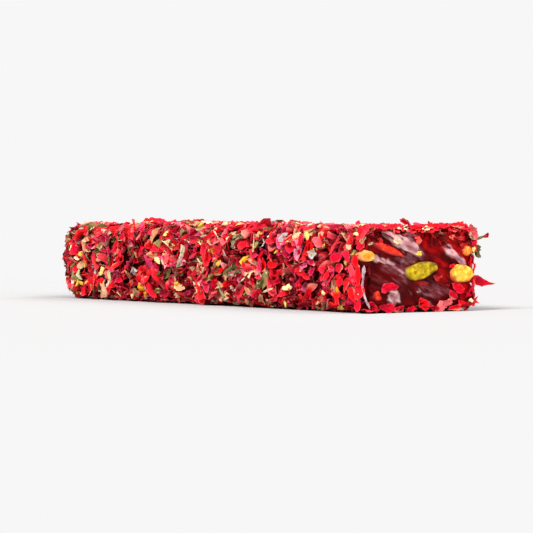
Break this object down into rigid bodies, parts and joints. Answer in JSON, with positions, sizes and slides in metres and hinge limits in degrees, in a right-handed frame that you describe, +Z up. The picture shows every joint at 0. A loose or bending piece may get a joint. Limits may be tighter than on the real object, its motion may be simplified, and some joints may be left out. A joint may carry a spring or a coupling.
{
  "type": "turkish delight bar",
  "caption": "Long sliced bar of dark jelly confection studded with nuts and fruit, coated all over in dried rose petal flakes.",
  "frame": {"origin": "middle of the underside of the bar's bounding box, on the surface it lies on", "axes": "+X along the bar towards its sliced end, +Y across it, +Z up from the side it lies on"},
  "size_m": [0.1998, 0.0578, 0.0311],
  "materials": {
    "rose_petal_coat": "dry, torn red and pink petal flakes over a translucent maroon jelly, glossy where it is sliced",
    "pistachio": "sliced kernel, waxy, under a thin film of jelly",
    "candied_fruit": "moist, glossy candied fruit"
  },
  "bodies": {
    "root": {"jelly_bar": "rose_petal_coat", "pistachio_middle": "pistachio", "pistachio_right": "pistachio", "pistachio_left": "pistachio", "fruit_strip": "candied_fruit", "fruit_chip_low": "candied_fruit", "fruit_chip_right": "candied_fruit"}
  },
  "joints": []
}
